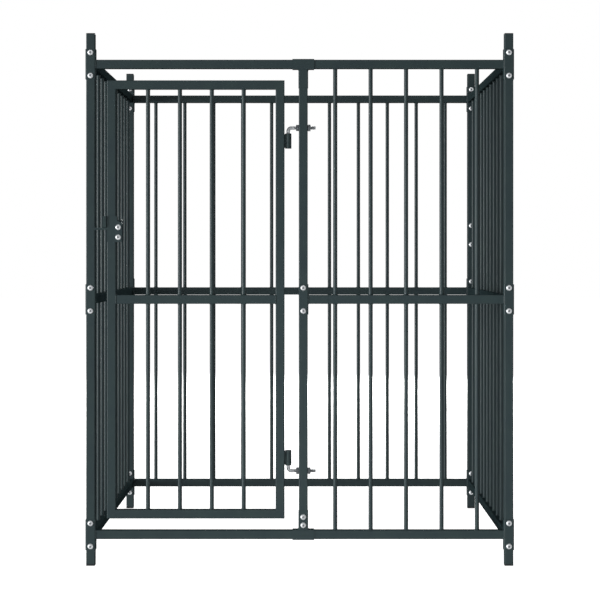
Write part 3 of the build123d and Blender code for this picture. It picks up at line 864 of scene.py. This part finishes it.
def buildWelds():
    sides = ("front", "back", "left", "right")
    levels = ("bottom", "middle", "top")
    frameRails = ["rail_%s_%s" % (side, level) for side in sides for level in levels]
    tree = weldTree()
    places = []
    for side in sides:
        rails = [name for name in frameRails if side in name]
        places += weldPlaces("bars_" + side, rails)
    welds = growPiece("bar_welds", tree, seedPoints(places), weldSizes, coat, smoothAngle=180)
    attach(welds, "frame")
    places = weldPlaces("door_bars", ("door_top_rail", "door_middle_rail", "door_bottom_rail"))
    welds = growPiece("door_bar_welds", tree, seedPoints(places), weldSizes, coat, smoothAngle=180)
    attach(welds, "door")
    tree = squareWeldTree()
    places = [place for rail in frameRails for place in railEnds(rail)]
    welds = growPiece("rail_welds", tree, seedPoints(places), railWeldSizes, coat, smoothAngle=180)
    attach(welds, "frame")
    places = railEnds("door_middle_rail")
    welds = growPiece("door_rail_welds", tree, seedPoints(places), railWeldSizes, coat, smoothAngle=180)
    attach(welds, "door")


buildWelds()


gripSizes = {
    "Rib Width": 2.0,
    "Rib Length": 8.0,
    "Sides": 12,
    "Seed": 1,
    "proud": 0.55,  # mm that each rib stands out of the tab
    "pitch": 4.0,
    "count": 6,
    "skin": 1.0,  # mm, how deep the corners of the tab's front face are looked for
    # width of each ring of the round end over the rib's, and how far back it lies over the radius
    "nose": ((0.0, 0.0), (0.6, 0.2), (0.9, 0.56), (1.0, 1.0)),
}


def gripTree():
    # a round ended rib along the way that its point faces
    tree, given = newTree("gripRib", ("Rib Width", "Rib Length"), ("Sides", "Seed"))
    halves = []
    for name in ("Rib Width", "Rib Length"):
        inputs = {0: given[name], 1: 0.5}
        halves.append(addNode(tree, "ShaderNodeMath", inputs, operation="MULTIPLY").outputs[0])
    radius, end = halves
    upper, lower = [], []
    for width, back in gripSizes["nose"]:
        inputs = {0: given["Rib Width"], 1: width}
        wide = addNode(tree, "ShaderNodeMath", inputs, operation="MULTIPLY").outputs[0]
        inputs = {0: radius, 1: back}
        away = addNode(tree, "ShaderNodeMath", inputs, operation="MULTIPLY").outputs[0]
        height = addNode(tree, "ShaderNodeMath", {0: end, 1: away}, operation="SUBTRACT").outputs[0]
        depth = addNode(tree, "ShaderNodeMath", {0: height, 1: -1.0}, operation="MULTIPLY").outputs[0]
        upper.append((wide, height))
        lower.insert(0, (wide, depth))
    rib = turned(tree, upper + lower, given["Sides"])
    closeTree(tree, given, placed(tree, given, rib))
    return tree


def buildGrip():
    # across the upper, forward end of the thumb tab
    front = Vector(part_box("latch_slide")[0]).y
    slide = solidPoints("latch_slide")[0]
    low, high = pointBox([p for p in slide if p.y < front + gripSizes["skin"] * mm])
    middleX = (low.x + high.x) / 2
    sink = (gripSizes["Rib Width"] / 2 - gripSizes["proud"]) * mm
    places = []
    for index in range(gripSizes["count"]):
        height = high.z - (index + 1) * gripSizes["pitch"] * mm
        places.append(((middleX, front + sink, height), (1.0, 0.0, 0.0)))
    ribs = growPiece("thumb_grip_ribs", gripTree(), seedPoints(places), gripSizes, coat, smoothAngle=40)
    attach(ribs, "latch")


buildGrip()
print("pieces built")


studio = {
    "eye": (0.012, -5.8115, 0.879),
    "lens": 111.06,
    "sensor": 36,
    "sight": 200,  # m, past which the camera sees nothing
    "shift": (-0.00667, -0.0773),
    "floorSize": 60,
    "floorShine": (0.9, 1.0),  # what is seen of the floor by itself, near the object and far off
    "floorReach": (1.5, 4.0),  # m, where the first ends and the second starts
    "floorPaint": "e8e8e8",
    "floorBounce": "383838",  # what the object gets back from the floor
    "airLight": 0.05,
    # place in metres, width and power of each lamp
    "lamps": {
        "key": ((-13.0, -5.9, 0.7), 3.2, 3050),
        "lowFill": ((0.2, -2.25, 0.05), 0.9, 27),
        "frontFill": ((-3.0, -8.6, 0.8), 2.5, 60),
        "leftSoft": ((-5.5, -7.5, 0.9), 1.6, 190),
        "backFill": ((1.5, 7.0, 2.2), 2.5, 480),
        "rightFill": ((6.5, 4.0, 1.8), 2.5, 60),
        "topFill": ((0.0, 0.0, 6.0), 3.0, 50),
    },
    "aim": (0, 0, 0.7),
    "noGleam": ("lowFill", "frontFill"),  # lamps that lift the dark faces and leave no highlight
}


def seenRay(tree):
    # 1 for rays from the camera and for those that metal or glass sends on
    path = addNode(tree, "ShaderNodeLightPath").outputs
    seen = path["Is Camera Ray"]
    for ray in ("Is Glossy Ray", "Is Transmission Ray"):
        seen = addNode(tree, "ShaderNodeMath", {0: seen, 1: path[ray]}, operation="MAXIMUM").outputs[0]
    return seen


def buildEye():
    eye = bpy.data.cameras.new("eye")
    eye.lens = studio["lens"]
    eye.sensor_width = studio["sensor"]
    eye.shift_x, eye.shift_y = studio["shift"]
    eye.clip_end = studio["sight"]
    eyeObject = bpy.data.objects.new("eye", eye)
    eyeObject.location = studio["eye"]
    eyeObject.rotation_euler = (math.radians(90), 0, 0)
    bpy.context.scene.collection.objects.link(eyeObject)
    bpy.context.scene.camera = eyeObject


def buildAir():
    # white where it is seen, and a faint light otherwise
    air = bpy.data.worlds.new("air")
    bpy.context.scene.world = air
    air.use_nodes = True
    tree = air.node_tree
    tree.nodes.clear()
    glow = addNode(tree, "ShaderNodeMapRange", {"Value": seenRay(tree), "To Min": studio["airLight"]})
    inputs = {"Color": (1, 1, 1, 1), "Strength": glow.outputs[0]}
    back = addNode(tree, "ShaderNodeBackground", inputs)
    addNode(tree, "ShaderNodeOutputWorld", {"Surface": back.outputs[0]})


def buildFloor():
    # a pale floor that takes the shadow and ends in the white of the air
    half = studio["floorSize"] / 2
    corners = [(-half, -half, 0), (half, -half, 0), (half, half, 0), (-half, half, 0)]
    mesh = bpy.data.meshes.new("floor")
    mesh.from_pydata(corners, [], [(0, 1, 2, 3)])
    floor = bpy.data.objects.new("floor", mesh)
    bpy.context.scene.collection.objects.link(floor)
    material, tree = newMaterial("paleFloor")
    paint = addNode(tree, "ShaderNodeBsdfDiffuse", {"Color": linear(studio["floorPaint"])})
    place = addNode(tree, "ShaderNodeTexCoord").outputs["Object"]
    far = addNode(tree, "ShaderNodeVectorMath", {0: place}, operation="LENGTH")
    level = addNode(tree, "ShaderNodeMapRange", {
        "Value": far.outputs["Value"],
        "From Min": studio["floorReach"][0],
        "From Max": studio["floorReach"][1],
        "To Min": studio["floorShine"][0],
        "To Max": studio["floorShine"][1],
    })
    shine = addNode(tree, "ShaderNodeEmission", {"Strength": level.outputs[0]})
    seen = addNode(tree, "ShaderNodeAddShader", {0: paint.outputs[0], 1: shine.outputs[0]})
    bounce = addNode(tree, "ShaderNodeBsdfDiffuse", {"Color": linear(studio["floorBounce"])})
    shader = addNode(tree, "ShaderNodeMixShader", {
        0: seenRay(tree),
        1: bounce.outputs[0],
        2: seen.outputs[0],
    })
    addNode(tree, "ShaderNodeOutputMaterial", {"Surface": shader.outputs[0]})
    mesh.materials.append(material)


def buildLamps():
    for name, (place, width, power) in studio["lamps"].items():
        lamp = bpy.data.lights.new(name, "AREA")
        lamp.shape = "DISK"
        lamp.size = width
        lamp.energy = power
        made = bpy.data.objects.new(name, lamp)
        made.visible_camera = False
        made.visible_glossy = name not in studio["noGleam"]
        made.location = place
        toAim = Vector(studio["aim"]) - Vector(place)
        made.rotation_euler = toAim.to_track_quat("-Z", "Y").to_euler()
        bpy.context.scene.collection.objects.link(made)


buildEye()
buildAir()
buildFloor()
buildLamps()
bpy.context.scene.view_settings.view_transform = "Standard"
print("studio built")
